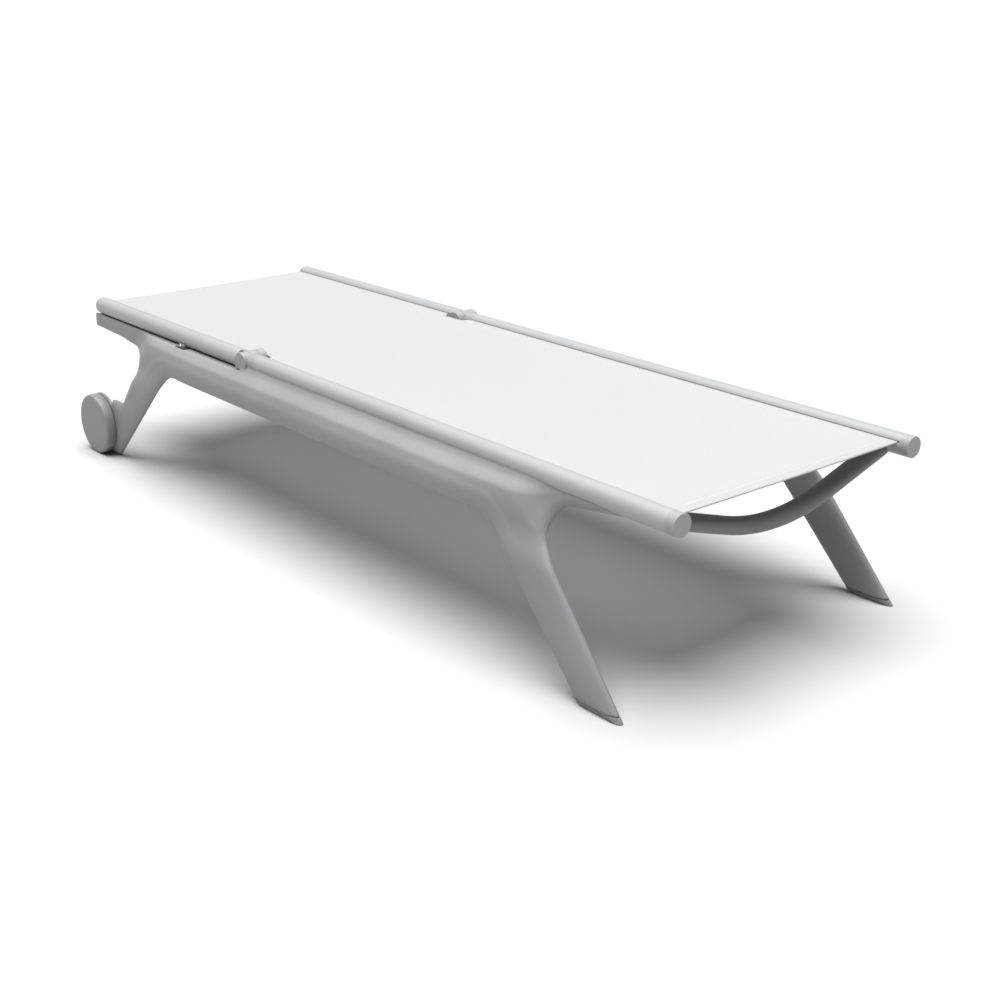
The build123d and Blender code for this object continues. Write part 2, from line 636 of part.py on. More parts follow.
def stay_arm():
    """Flat arm from the pivot to the foot rod, folded in line with the back."""
    x, z = stay_foot(0)
    arm = Pos((x + PIVOT_X) / 2, ARM_Y, (z + PIVOT_Z) / 2) * Rot(0, -STAY_SLOPE, 0)
    bar = arm * Box(STAY_LENGTH, ARM_T, ARM_H)
    bar += rod_y(ARM_Y - ARM_T / 2, ARM_Y + ARM_T / 2, x, z, ARM_H)
    bar += rod_y(ARM_Y - ARM_T / 2, ARM_Y + ARM_T / 2, PIVOT_X, PIVOT_Z, ARM_H)
    hole = BOLT_D + 2 * BOLT_CLEAR
    return bar - rod_y(ARM_Y - ARM_T, ARM_Y + ARM_T, PIVOT_X, PIVOT_Z, hole)


def prop_stay():
    """Welded stay: two arms and the foot rod that drops into the racks."""
    x, z = stay_foot(0)
    end = RAIL_Y - ROD_END_IN
    return stay_arm() + other_side(stay_arm()) + rod_y(-end, end, x, z, ROD_D)


def prop_lug():
    """Bracket that cups the back rail from below and carries the stay's pivot bolt."""
    body = block(
        PIVOT_X - LUG_L / 2, PIVOT_X + LUG_L / 2,
        LUG_INNER, LUG_OUTER, PIVOT_Z - LUG_BELOW, PIVOT_Z + LUG_ABOVE,
    )
    body = fillet(body.edges().filter_by(Axis.Y), 7.0)
    body -= rod_x(PIVOT_X - LUG_L, PIVOT_X + LUG_L, RAIL_Y, RAIL_Z, RAIL_D)
    body -= rod_y(LUG_INNER - 1, BOLT_TIP, PIVOT_X, PIVOT_Z, BOLT_D)
    return body - rod_y(RAIL_Y, LUG_OUTER + 1, PIVOT_X, PIVOT_Z, RIVET_D)


def lug_room():
    """Space kept clear around the lug when the back is flat."""
    return block(
        PIVOT_X - LUG_L / 2 - LUG_ROOM, PIVOT_X + LUG_L / 2 + 5 * LUG_ROOM,
        LUG_INNER - 30, LUG_OUTER + RIVET_HEAD_T + LUG_ROOM, PIVOT_Z - LUG_BELOW - LUG_ROOM, RAIL_Z,
    )


def prop_bolt():
    """Shoulder bolt of the stay, its head at the arm's inner side."""
    y0 = ARM_Y - ARM_T / 2 - 0.5
    bolt = rod_y(y0, BOLT_TIP, PIVOT_X, PIVOT_Z, BOLT_D)
    return bolt + rod_y(y0 - BOLT_HEAD_T, y0, PIVOT_X, PIVOT_Z, BOLT_HEAD_D)


def lug_rivet():
    """Rivet with a domed head on the lug's outer cheek, through to the rail's hollow."""
    shank = rod_y(RAIL_Y + 7, LUG_OUTER, PIVOT_X, PIVOT_Z, RIVET_D)
    head = rod_y(LUG_OUTER, LUG_OUTER + RIVET_HEAD_T, PIVOT_X, PIVOT_Z, RIVET_HEAD_D)
    head = fillet(head.edges().filter_by(GeomType.CIRCLE).sort_by(Axis.Y)[-1], 2.5)
    return shank + head


def back_rail():
    """Back rail, drilled for the lug's rivet and the two crossbars' screws."""
    rail = along(rail_section(), HEAD_X + HEAD_CAP_LENGTH, BACK_RAIL_FOOT)
    rail -= rod_y(RAIL_Y, LUG_OUTER, PIVOT_X, PIVOT_Z, RIVET_D)
    for x in (HEAD_BAR_X, LUMBAR_BAR_X):
        rail -= rod_z(BAR_SCREW_Z, BAR_SCREW_TIP, x, BAR_SCREW_Y, SCREW_D)
    return rail


def seat_rail():
    """Seat rail, drilled for the side frame's and the crossbar's screws."""
    rail = along(rail_section(), SEAT_RAIL_HEAD, FOOT_X - CAP_LENGTH)
    rail -= rod_z(BAR_SCREW_Z, BAR_SCREW_TIP, FRONT_BAR_X, BAR_SCREW_Y, SCREW_D)
    for x in RAIL_SCREW_X:
        rail -= rod_z(RAIL_SCREW_Z, RAIL_SCREW_TIP, x, RAIL_Y, SCREW_D)
    return rail


def rack():
    """Notched rack screwed inside the side frame; the foot rod rests in its notches."""
    first_x, first_z = stay_foot(0)
    last_x, last_z = stay_foot(RECLINE_MAX)
    slope = tan(radians(STAY_SLOPE))
    drop = ROD_D / 2 + RACK_CLEAR
    x0 = first_x - RACK_END
    x1 = last_x + RACK_END
    top0 = first_z - RACK_END * slope - drop
    top1 = last_z + RACK_END * slope - drop
    y0 = RACK_INNER
    y1 = SADDLE_INNER
    points = [(x0, top0 - RACK_DEPTH), (x1, top1 - RACK_DEPTH), (x1, top1), (x0, top0)]
    bar = across(make_face(Polyline(*points, close=True)), y0, y1)
    for angle in (0.0,) + NOTCH_ANGLES:
        x, z = stay_foot(angle)
        bar -= rod_y(y0 - 1, y1 + 1, x, z - RACK_CLEAR - 2.2, ROD_D + 1.0)
    # room for the back rail and the lug when the back is flat
    bar -= lug_room()
    return bar - rod_x(HEAD_X, HINGE_X, RAIL_Y, RAIL_Z, RAIL_D + 2 * BACK_CLEAR)


def rack_screw_places():
    """Screws along the rack, between its notches."""
    first_x, first_z = stay_foot(0)
    last_x, last_z = stay_foot(RECLINE_MAX)
    places = []
    for share in RACK_SCREW_SHARES:
        x = first_x + share * (last_x - first_x)
        z = first_z + share * (last_z - first_z) - ROD_D / 2 - RACK_CLEAR - RACK_DEPTH / 2
        places.append((x, z))
    return places


def rest_pad_seat():
    """Pocket in the horn for the rest pad."""
    x0 = HEAD_X + REST_PAD_AT
    return block(x0, x0 + REST_PAD_L, RAIL_Y - 6, RAIL_Y + 12, RAIL_Z - 30, RAIL_Z)


def rest_pad():
    """Rubber pad in the horn that the back rail lies on when flat."""
    pad = rest_pad_seat() & block(HEAD_X, FOOT_X, 0, RAIL_SPACING, 0, RAIL_Z - 12)
    return pad - rod_x(HEAD_X, HINGE_X, RAIL_Y, RAIL_Z, RAIL_D + 0.6)


# ---- build -----------------------------------------------------------------------
frame_left = side_frame()
rack_left = rack()
for x, z in rack_screw_places():
    rack_left -= rod_y(RACK_INNER - 1, SADDLE_INNER + 1, x, z, SCREW_D + 0.2)
    rack_left -= rod_y(RACK_INNER - 1, RACK_INNER + SCREW_SINK, x, z, SCREW_HEAD_D + SCREW_ROOM)
    frame_left -= rod_y(SADDLE_INNER - 1, SADDLE_INNER + 14, x, z, SCREW_D)
frame_left -= rest_pad_seat()
for x in (MID_BAR_X, REAR_BAR_X):
    frame_left -= beam_crossbar(x, BAR_CLEAR)
    frame_left -= rod_z(0, BEAM_SCREW_Z, x, BEAM_SCREW_Y, SCREW_HEAD_D + SCREW_ROOM)
    frame_left -= rod_z(0, BEAM_SCREW_TIP, x, BEAM_SCREW_Y, SCREW_D + 0.2)

save_pair("side_frame", frame_left)
save_pair("seat_rail", seat_rail())
save_pair("back_rail", back_rail())
save_pair("foot_cap", foot_cap())
save_pair("head_cap", head_cap())
save_pair("hinge_seat_half", hinge_seat())
save_pair("hinge_back_half", hinge_back())
save_pair("hinge_pin", hinge_pin())
save_pair("front_glide", glide())
save_pair("wheel", wheel())
save_pair("wheel_inner_plate", wheel_plate())
save_pair("wheel_axle", axle())
save_pair("axle_clip", axle_clip())
save_pair("prop_lug", prop_lug())
save_pair("prop_bolt", prop_bolt())
save_pair("recline_rack", rack_left)
save_pair("rest_pad", rest_pad())
save_pair("seat_keder", keder(SEAT_RAIL_HEAD + 1, SEAT_SLING_FOOT))
save_pair("back_keder", keder(BACK_SLING_HEAD, BACK_RAIL_FOOT - 1))
save("pin_caps", pin_cap(), other_side(pin_cap()))
save("lug_rivets", lug_rivet(), other_side(lug_rivet()))
save("front_crossbar", rail_crossbar(FRONT_BAR_X))
save("middle_crossbar", beam_crossbar(MID_BAR_X))
save("rear_crossbar", beam_crossbar(REAR_BAR_X))
save("head_crossbar", rail_crossbar(HEAD_BAR_X))
save("lumbar_crossbar", rail_crossbar(LUMBAR_BAR_X))
save("prop_stay", prop_stay())
save("seat_sling", sling(SEAT_SLING_FOOT, HINGE_X + SLING_HINGE_GAP, 1))
save("back_sling", sling(BACK_SLING_HEAD, HINGE_X - SLING_HINGE_GAP, -1))
save(
    "rail_screws",
    *[screw_up(x, y, RAIL_SCREW_Z, RAIL_SCREW_TIP) for x in RAIL_SCREW_X for y in (-RAIL_Y, RAIL_Y)],
)
save(
    "seat_bar_screws",
    *[screw_up(FRONT_BAR_X, y, BAR_SCREW_Z, BAR_SCREW_TIP) for y in (-BAR_SCREW_Y, BAR_SCREW_Y)],
)
save(
    "back_bar_screws",
    *[
        screw_up(x, y, BAR_SCREW_Z, BAR_SCREW_TIP)
        for x in (HEAD_BAR_X, LUMBAR_BAR_X)
        for y in (-BAR_SCREW_Y, BAR_SCREW_Y)
    ],
)
save(
    "beam_bar_screws",
    *[
        screw_up(x, y, BEAM_SCREW_Z, BEAM_SCREW_TIP)
        for x in (MID_BAR_X, REAR_BAR_X)
        for y in (-BEAM_SCREW_Y, BEAM_SCREW_Y)
    ],
)
rack_screws = [
    screw_out(x, z, RACK_INNER + SCREW_SINK, RACK_INNER + SCREW_SINK + RACK_SCREW_L)
    for x, z in rack_screw_places()
]
save("rack_screws", *rack_screws, *[other_side(item) for item in rack_screws])
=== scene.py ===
"""Looks of the reclining sun lounger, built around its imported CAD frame.

Blender units are metres. The side frames are shaped in millimetres from the head end,
then placed in the frame. Left is +Y and right is -Y.
"""

import json
from math import atan2, cos, pi, radians, sin, tan

import bmesh
import bpy
import numpy as np
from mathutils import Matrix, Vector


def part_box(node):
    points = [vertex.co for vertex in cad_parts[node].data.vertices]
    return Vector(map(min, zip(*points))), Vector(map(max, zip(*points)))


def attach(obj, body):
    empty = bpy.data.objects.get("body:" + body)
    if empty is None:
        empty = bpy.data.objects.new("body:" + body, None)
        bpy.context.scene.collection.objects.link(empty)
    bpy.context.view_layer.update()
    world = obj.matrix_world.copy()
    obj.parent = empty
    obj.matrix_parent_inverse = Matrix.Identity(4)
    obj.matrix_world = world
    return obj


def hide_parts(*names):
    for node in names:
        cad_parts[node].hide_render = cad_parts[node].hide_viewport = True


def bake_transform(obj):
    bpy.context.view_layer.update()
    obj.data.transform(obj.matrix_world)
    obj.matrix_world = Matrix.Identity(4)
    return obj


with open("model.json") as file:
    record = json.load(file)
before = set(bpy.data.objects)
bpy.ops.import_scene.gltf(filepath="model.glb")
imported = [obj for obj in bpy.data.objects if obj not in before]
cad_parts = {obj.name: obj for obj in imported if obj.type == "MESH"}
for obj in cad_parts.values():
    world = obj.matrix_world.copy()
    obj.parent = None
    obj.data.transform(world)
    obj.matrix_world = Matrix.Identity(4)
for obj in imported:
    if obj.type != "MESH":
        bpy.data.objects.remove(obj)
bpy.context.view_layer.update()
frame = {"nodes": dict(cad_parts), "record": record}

MM = 0.001
SIDES = (("left", 1), ("right", -1))

# ---- places read from the frame ---------------------------------------------------
JOINTS = {joint["name"]: joint for joint in frame["record"]["behaviour"]["joints"]}
HINGE_X = JOINTS["recline"]["pos_m"][0]
AXLE_X, _, AXLE_Z = JOINTS["wheel_left_spin"]["pos_m"]
PIVOT_X = JOINTS["stay_fold"]["pos_m"][0]


def span(node, axis):
    """Lowest and highest place of a CAD node along X, Y or Z."""
    low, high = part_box(node)
    return low[axis], high[axis]


def middle(node, axis):
    """Middle of a CAD node along X, Y or Z."""
    return sum(span(node, axis)) / 2


HEAD_X = span("head_cap_left", 0)[0]
FOOT_X = span("foot_cap_left", 0)[1]
RAIL_Y = middle("seat_rail_left", 1)
RAIL_Z = middle("seat_rail_left", 2)
RAIL_R = (span("seat_rail_left", 1)[1] - span("seat_rail_left", 1)[0]) / 2
SLING_Z = middle("seat_sling", 2)
SLING_HALF = span("seat_sling", 1)[1]
SLING_HEAD = span("back_sling", 0)[0]
SLING_FOOT = span("seat_sling", 0)[1]


# ---- materials --------------------------------------------------------------------
def colour(hex_value):
    """sRGB hex to the linear colour that Blender's sockets take."""
    channels = [int(hex_value[i:i + 2], 16) / 255 for i in (1, 3, 5)]
    return [c / 12.92 if c <= 0.04045 else ((c + 0.055) / 1.055) ** 2.4 for c in channels] + [1]


def node(tree, kind, links=(), **settings):
    """Adds a node. Settings with a capital or digit are sockets, the others properties."""
    made = tree.nodes.new(kind)
    for key, value in settings.items():
        name = key.replace("_", " ")
        if key[0].isupper():
            made.inputs[name].default_value = value
        else:
            setattr(made, key, value)
    for socket, source in dict(links).items():
        tree.links.new(source, made.inputs[socket])
    return made


def finish_named(name, base, roughness, **sockets):
    """A new material with a Principled shader; returns it, its tree and the shader."""
    made = bpy.data.materials.new(name)
    made.use_nodes = True
    tree = made.node_tree
    shader = tree.nodes["Principled BSDF"]
    shader.inputs["Base Color"].default_value = colour(base)
    shader.inputs["Roughness"].default_value = roughness
    for key, value in sockets.items():
        shader.inputs[key.replace("_", " ")].default_value = value
    return made, tree, shader


def two_tones(tree, shader, driver, light, dark, low=0.35, high=0.65):
    """Base colour that drifts between two close tones."""
    share = node(tree, "ShaderNodeMapRange", {"Value": driver}, From_Min=low, From_Max=high)
    mixed = node(
        tree, "ShaderNodeMix", {"Factor": share.outputs["Result"]}, data_type="RGBA"
    )
    mixed.inputs[6].default_value = colour(dark)
    mixed.inputs[7].default_value = colour(light)
    tree.links.new(mixed.outputs[2], shader.inputs["Base Color"])


def bumped(tree, shader, height, strength, distance):
    """Relief on the surface, its depth in metres."""
    bump = node(
        tree, "ShaderNodeBump", {"Height": height}, Strength=strength, Distance=distance
    )
    tree.links.new(bump.outputs["Normal"], shader.inputs["Normal"])


def moulded_plastic(name, light, dark, roughness=0.52, grain=2.2):
    """Injection-moulded polypropylene: an even matt skin with a fine spark-eroded grain.

    The real grain is near 0.3 mm; it is drawn at 2.2 mm so that it shows.
    """
    made, tree, shader = finish_named(name, light, roughness, IOR=1.49)
    place = node(tree, "ShaderNodeTexCoord").outputs["Object"]
    fine = node(
        tree, "ShaderNodeTexNoise", {"Vector": place},
        Scale=1000 / grain, Detail=2.0, Roughness=0.6,
    )
    flow = node(tree, "ShaderNodeTexNoise", {"Vector": place}, Scale=7.0, Detail=3.0)
    two_tones(tree, shader, flow.outputs["Fac"], light, dark)
    gloss = node(
        tree, "ShaderNodeMapRange", {"Value": flow.outputs["Fac"]},
        To_Min=roughness - 0.05, To_Max=roughness + 0.07,
    )
    tree.links.new(gloss.outputs["Result"], shader.inputs["Roughness"])
    bumped(tree, shader, fine.outputs["Fac"], 0.22, 0.0005)
    return made


def powder_coat(name, light, dark):
    """Powder coat baked on drawn aluminium tube: soft sheen and a slight orange peel."""
    made, tree, shader = finish_named(name, light, 0.42, IOR=1.5)
    place = node(tree, "ShaderNodeTexCoord").outputs["Object"]
    peel = node(tree, "ShaderNodeTexNoise", {"Vector": place}, Scale=420.0, Detail=1.0)
    drift = node(tree, "ShaderNodeTexNoise", {"Vector": place}, Scale=5.0, Detail=2.0)
    two_tones(tree, shader, drift.outputs["Fac"], light, dark)
    bumped(tree, shader, peel.outputs["Fac"], 0.12, 0.0004)
    return made


def zinc_steel(name):
    """Zinc-plated steel fastener: bright, with a faint turned grain."""
    made, tree, shader = finish_named(name, "#B9BABD", 0.34, Metallic=1.0)
    place = node(tree, "ShaderNodeTexCoord").outputs["Object"]
    grain = node(tree, "ShaderNodeTexNoise", {"Vector": place}, Scale=900.0, Detail=2.0)
    gloss = node(
        tree, "ShaderNodeMapRange", {"Value": grain.outputs["Fac"]}, To_Min=0.26, To_Max=0.46
    )
    tree.links.new(gloss.outputs["Result"], shader.inputs["Roughness"])
    return made


def moulded_rubber(name):
    """Moulded thermoplastic rubber: dull, faintly mottled grip."""
    made, tree, shader = finish_named(name, "#797A7C", 0.78, IOR=1.52)
    place = node(tree, "ShaderNodeTexCoord").outputs["Object"]
    mottle = node(tree, "ShaderNodeTexNoise", {"Vector": place}, Scale=160.0, Detail=3.0)
    two_tones(tree, shader, mottle.outputs["Fac"], "#7D7E80", "#757678")
    bumped(tree, shader, mottle.outputs["Fac"], 0.2, 0.0004)
    return made


def woven_mesh(name, pitch=2.6):
    """PVC-coated polyester yarn in a plain weave: crisp white, low sheen, and daylight
    glows through it to the floor.

    The real thread pitch is near 1.3 mm; it is drawn at 2.6 mm so that it shows.
    """
    made, tree, shader = finish_named(name, "#BEBEBE", 0.62, IOR=1.5, Sheen_Weight=0.15)
    place = node(tree, "ShaderNodeTexCoord").outputs["Object"]
    axes = node(tree, "ShaderNodeSeparateXYZ", {"Vector": place})
    turns = 2 * pi / (2 * pitch * MM)

    def wave(source, shift=0.0):
        scaled = node(
            tree, "ShaderNodeMath", {0: source}, operation="MULTIPLY_ADD"
        )
        scaled.inputs[1].default_value = turns
        scaled.inputs[2].default_value = shift
        return node(tree, "ShaderNodeMath", {0: scaled.outputs[0]}, operation="SINE").outputs[0]

    across, along = wave(axes.outputs["Y"]), wave(axes.outputs["X"])
    over = node(tree, "ShaderNodeMath", {0: across, 1: along}, operation="MULTIPLY")
    yarns = node(tree, "ShaderNodeMath", {0: over.outputs[0]}, operation="ABSOLUTE")
    tone = node(
        tree, "ShaderNodeMapRange", {"Value": yarns.outputs[0]}, To_Min=0.0, To_Max=1.0
    )
    two_tones(tree, shader, tone.outputs["Result"], "#C0C0C0", "#B7B7B8", 0.0, 0.35)
    bumped(tree, shader, over.outputs[0], 0.25, 0.0004)
    through = node(tree, "ShaderNodeBsdfTranslucent")
    through.inputs["Color"].default_value = colour("#EEEEEE")
    cloth = node(
        tree, "ShaderNodeMixShader", {1: shader.outputs[0], 2: through.outputs[0]}, Fac=0.25
    )
    tree.links.new(cloth.outputs[0], tree.nodes["Material Output"].inputs["Surface"])
    return made


POLYPROPYLENE = moulded_plastic("moulded_polypropylene_light_grey", "#8A8B8C", "#868788")
CAP_PLASTIC = moulded_plastic("moulded_polypropylene_pale_grey", "#999A9B", "#959697", 0.48)
# crossbars: the frame's light grey plastic, drawn darker; this darker grey is painted shade for
# where they sit under the seat
BAR_PAINTED_SHADE_PLASTIC = moulded_plastic("moulded_polypropylene_painted_shade_grey", "#727374", "#6C6D6E", 0.6)
WHEEL_PLASTIC = moulded_plastic("moulded_polyethylene_wheel_grey", "#858687", "#818283", 0.5)
RAIL_COAT = powder_coat("powder_coated_aluminium_light_grey", "#A1A2A3", "#9E9FA0")
STAY_COAT = powder_coat("powder_coated_steel_light_grey", "#8A8B8C", "#868788")
MESH_CLOTH = woven_mesh("coated_yarn_mesh_white")
ZINC = zinc_steel("zinc_plated_steel")
RUBBER = moulded_rubber("moulded_rubber_grey")
KEDER = moulded_plastic("extruded_pvc_rod_white", "#E4E4E4", "#DEDEDE", 0.5)
THREAD = moulded_plastic("spun_polyester_thread_white", "#F0F0F0", "#E8E8E8", 0.7)

FINISHES = {
    "side_frame": POLYPROPYLENE, "foot_cap": CAP_PLASTIC, "head_cap": CAP_PLASTIC,
    "hinge_seat_half": CAP_PLASTIC, "hinge_back_half": CAP_PLASTIC,
    "pin_caps": CAP_PLASTIC, "front_crossbar": BAR_PAINTED_SHADE_PLASTIC,
    "middle_crossbar": BAR_PAINTED_SHADE_PLASTIC, "rear_crossbar": BAR_PAINTED_SHADE_PLASTIC,
    "head_crossbar": BAR_PAINTED_SHADE_PLASTIC, "lumbar_crossbar": BAR_PAINTED_SHADE_PLASTIC,
    "recline_rack": POLYPROPYLENE, "prop_lug": POLYPROPYLENE,
    "seat_rail": RAIL_COAT, "back_rail": RAIL_COAT, "prop_stay": STAY_COAT,
    "wheel": WHEEL_PLASTIC, "wheel_inner_plate": WHEEL_PLASTIC,
    "front_glide": RUBBER, "rest_pad": RUBBER, "seat_keder": KEDER, "back_keder": KEDER,
    "seat_sling": MESH_CLOTH, "back_sling": MESH_CLOTH,
    "hinge_pin": ZINC, "wheel_axle": ZINC, "axle_clip": ZINC, "prop_bolt": ZINC,
    "lug_rivets": ZINC, "rail_screws": ZINC, "seat_bar_screws": ZINC,
    "back_bar_screws": ZINC, "beam_bar_screws": ZINC, "rack_screws": ZINC,
}


def kind_of(name):
    """A node's name without its side."""
    return name.removesuffix("_left").removesuffix("_right")


for name, part in frame["nodes"].items():
    part.data.materials.clear()
    part.data.materials.append(FINISHES[kind_of(name)])

BODY_OF = {
    name: body
    for body, names in frame["record"]["behaviour"]["bodies"].items()
    for name in names
}


# ---- mesh helpers -----------------------------------------------------------------
def linked(name, data):
    """An object at the origin that holds this mesh, lamp or camera."""
    made = bpy.data.objects.new(name, data)
    bpy.context.scene.collection.objects.link(made)
    return made


def mesh_object(name, points, faces, material, smooth=True):
    """A mesh object at the origin, its faces turned outwards."""
    mesh = bpy.data.meshes.new(name)
    mesh.from_pydata([tuple(p) for p in points], [], [tuple(map(int, f)) for f in faces])
    work = bmesh.new()
    work.from_mesh(mesh)
    bmesh.ops.remove_doubles(work, verts=work.verts, dist=1e-7)
    bmesh.ops.recalc_face_normals(work, faces=work.faces)
    work.to_mesh(mesh)
    work.free()
    if smooth:
        mesh.shade_smooth()
    mesh.materials.append(material)
    return linked(name, mesh)


def baked(made):
    """Turns an object's modifiers into its mesh."""
    graph = bpy.context.evaluated_depsgraph_get()
    mesh = bpy.data.meshes.new_from_object(made.evaluated_get(graph))
    made.modifiers.clear()
    made.data = mesh
    return made


def stands_for(made, *names):
    """Shows this piece in place of CAD nodes of one body, and moves it with them."""
    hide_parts(*names)
    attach(made, BODY_OF[names[0]])
    return made


# ---- side frames: distances in millimetres, negative inside -----------------------
def rounded(points, radii, steps=12):
    """Closed outline with a tangent arc at each corner."""
    corners = np.array(points, float)
    outline = []
    for i, corner in enumerate(corners):
        before = corners[i - 1] - corner
        after = corners[(i + 1) % len(corners)] - corner
        lengths = np.linalg.norm(before), np.linalg.norm(after)
        before, after = before / lengths[0], after / lengths[1]
        half = np.arccos(np.clip(before @ after, -1, 1)) / 2
        reach = min(radii[i] / tan(half), 0.49 * lengths[0], 0.49 * lengths[1])
        radius = reach * tan(half)
        bisector = (before + after) / np.linalg.norm(before + after)
        centre = corner + bisector * radius / sin(half)
        start = corner + before * reach - centre
        end = corner + after * reach - centre
        turn = atan2(start[0] * end[1] - start[1] * end[0], start @ end)
        for t in np.linspace(0, turn, steps):
            across = start[0] * cos(t) - start[1] * sin(t)
            up = start[0] * sin(t) + start[1] * cos(t)
            outline.append(centre + [across, up])
    return np.array(outline)


def to_outline(outline, u, v):
    """Signed distance from points (u, v) to a closed outline."""
    u, v = np.broadcast_arrays(u, v)
    best = np.full(u.shape, np.inf)
    inside = np.zeros(u.shape, bool)
    for (au, av), (bu, bv) in zip(outline, np.roll(outline, -1, axis=0)):
        eu, ev = bu - au, bv - av
        size = eu * eu + ev * ev
        if size < 1e-12:
            continue
        wu, wv = u - au, v - av
        t = np.clip((wu * eu + wv * ev) / size, 0, 1)
        best = np.minimum(best, (wu - eu * t) ** 2 + (wv - ev * t) ** 2)
        if abs(ev) > 1e-9:
            inside ^= ((av <= v) != (bv <= v)) & (u < au + wv * eu / ev)
    return np.where(inside, -1, 1) * np.sqrt(best)


def meet(a, b, radius):
    """What is inside both, with the edge between them rounded."""
    over = np.hypot(np.maximum(a + radius, 0), np.maximum(b + radius, 0))
    return np.minimum(np.maximum(a, b), -radius) + over


def join(a, b, radius):
    """What is inside either, with a fillet in the corner between them."""
    under = np.hypot(np.maximum(radius - a, 0), np.maximum(radius - b, 0))
    return np.maximum(np.minimum(a, b), radius) - under


def blade(depth, offset, edge, half):
    """Plate of half thickness whose rim is an ellipse, edge wide, in from its outline."""
    p = np.maximum(edge + depth, 0) / edge
    q = offset / half
    near = np.sqrt(p * p + q * q) + 1e-9
    slope = np.sqrt((p / edge) ** 2 + (q / half) ** 2) + 1e-9
    return near * (near - 1) / slope


LENGTH = (FOOT_X - HEAD_X) / MM
RAIL_MID = RAIL_Y / MM
RAIL_UP = RAIL_Z / MM
RAIL_RADIUS = RAIL_R / MM
HINGE_AT = (HINGE_X - HEAD_X) / MM
PIVOT_AT = (PIVOT_X - HEAD_X) / MM
AXLE_AT = (AXLE_X - HEAD_X) / MM
AXLE_UP = AXLE_Z / MM

BEAM_UNDER = 258.0
WIDEST = 60.5              # beam's outer face outside the rail's centre line
BLADE_AT = 53.0            # legs' mid plane outside the rail's centre line
BLADE_HALF = 11.0
FLUSH = RAIL_RADIUS + 0.2  # horn's and arm's outer face, flush with the rail
LIP = 325.0                # top edge beside the back rail
SADDLE = 8.0               # frame's inner face inside the rail's centre line
REAR_TIP = 3.0             # rear leg's tip above the floor
GLIDE_TOP = 10.0           # seam between the front leg and its sole
SEAM_GAP = 0.4
EDGE = 0.8                 # round of cut edges
EAR_R = 73.6               # round end behind the wheel
EAR_EDGE_AT = 150.0        # where the leg starts to thin into the round end
EAR_THIN = 4.0
EAR_FILLET = 5.0
LEG_FADE = 60.0            # height over which beam turns into leg
AHEAD_FADE = 100.0         # length over which the rear leg's sizes turn into the front's
LEG_HALF = 13.0            # front leg, half its thickness
LEG_LEAN = tan(radians(2.0))
BEAM_RIM = 26.0            # how far in from the outline each edge starts to round
HORN_RIM = 7.0
ARM_RIM = 20.0
REAR_RIM = 30.0
FRONT_RIM = 36.0
OVER_TOP = 12.0            # the side view runs on above the rail's centre line
BACK_ROOM = 2.2            # back rail clear of the trough it lies in
BARREL_CUT = 22.4          # round cut for the hinge's barrel
BARREL_CUT_OUT = 312.6
LUG_AT, LUG_HALF = 6.0, 22.0   # pocket for the stay's lug, from the stay's pivot
LUG_UP, LUG_TALL, LUG_OUT = 328.0, 15.0, 322.5

# side view of the whole moulding: horn, beam, arm and both legs
SIDE_VIEW = rounded(
    [
        (2, RAIL_UP + OVER_TOP), (2, 291), (130, 287), (225, 278), (284, 252), (192, 141),
        (140, 141), (112, REAR_TIP), (152, REAR_TIP), (420, BEAM_UNDER),
        (LENGTH - 401, BEAM_UNDER), (LENGTH - 155 + 6, -6), (LENGTH - 52 + 5, -6),
        (LENGTH - 309, 298), (LENGTH - 100, 326), (LENGTH - 60, RAIL_UP + OVER_TOP),
    ],
    [1, 5, 80, 60, 30, 24, 4, 2, 4, 80, 120, 4, 3, 41, 60, 1],
)
# cross-section of the beam: outer and inner wall by height
OUTER_WALL = rounded(
    [
        (0, -40), (RAIL_MID + 61, -20), (RAIL_MID + WIDEST, 291), (RAIL_MID + 50, 312.5),
        (RAIL_MID + 27, 328), (RAIL_MID + FLUSH - 0.5, 338), (RAIL_MID + FLUSH - 0.5, 352),
        (0, 400),
    ],
    [1, 1, 34, 16, 40, 10, 1, 1],
)
INNER_WALL = rounded(
    [
        (0, -40), (RAIL_MID + BLADE_AT - BLADE_HALF, -20),
        (RAIL_MID + BLADE_AT - BLADE_HALF, 272),
        (RAIL_MID + 26, 286), (RAIL_MID - SADDLE, 308), (RAIL_MID - SADDLE, RAIL_UP + 4), (0, 400),
    ],
    [1, 1, 12, 12, 12, 1, 1],
)


def wall_at(wall, z):
    """How far out a wall of the beam is at each height."""
    shown = wall[wall[:, 0] > RAIL_MID / 2]
    return np.interp(z, shown[:, 1], shown[:, 0])


def ease(share):
    """Smooth step from 0 to 1."""
    t = np.clip(share, 0, 1)
    return t * t * (3 - 2 * t)


# the band that beam and legs make: it stands out from the flush horn and arm
BAND = rounded(
    [
        (-160, -160), (-160, 150), (196, 150), (362, 321), (LENGTH - 384, 321),
        (LENGTH - 306, 252), (LENGTH - 254, 236), (LENGTH - 10, -60), (LENGTH - 10, -160),
    ],
    [1, 1, 60, 150, 110, 90, 40, 1, 1],
)
BAND_TOP = 321.0           # its upper edge along the beam
RIDGE = 300.0              # height at which the beam's outer wall starts to fall inwards
STRETCH = 2.8              # how much slower it falls at the legs, into a hollow web
WEB_FROM, WEB_OVER = 560.0, 180.0  # where the web starts, from each end, and over how far
WEB_BLEND = 16.0           # softness between the web and the beam's shoulder
WEB_THICK = 28.0           # wall where it is flush


def lesser(a, b, blend):
    """The smaller of two, with a smooth change from one to the other."""
    share = np.clip(0.5 + 0.5 * (b - a) / blend, 0, 1)
    return b * (1 - share) + a * share - blend * share * (1 - share)


